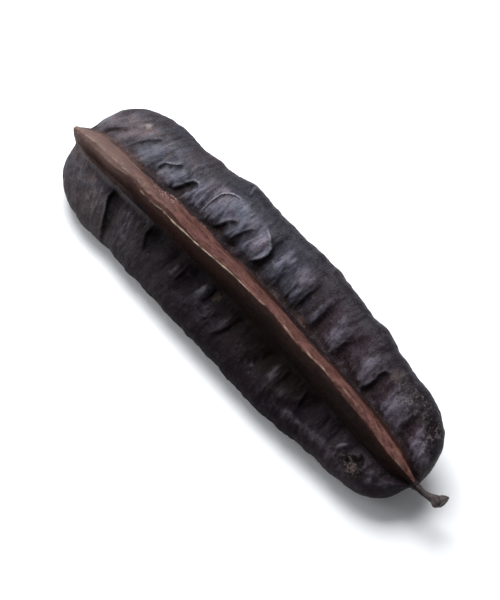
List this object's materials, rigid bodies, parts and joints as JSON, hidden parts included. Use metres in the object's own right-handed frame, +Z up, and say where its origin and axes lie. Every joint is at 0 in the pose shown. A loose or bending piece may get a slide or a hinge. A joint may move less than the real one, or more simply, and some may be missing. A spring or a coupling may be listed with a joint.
{
  "type": "aridan pod",
  "caption": "Dried aridan pod with broad fleshy wings, narrower woody wings, a pointed beak and a cut stalk, lying on its side.",
  "frame": {"origin": "centre of the bounding box on the floor the pod lies on", "axes": "+X along the pod from beak to stalk, +Z up, +Y towards the broader fleshy wing"},
  "size_m": [0.1824, 0.0478, 0.0295],
  "materials": {
    "dry_pod_skin": "satin"
  },
  "bodies": {
    "root": {"aridan_pod": "dry_pod_skin"}
  },
  "joints": []
}
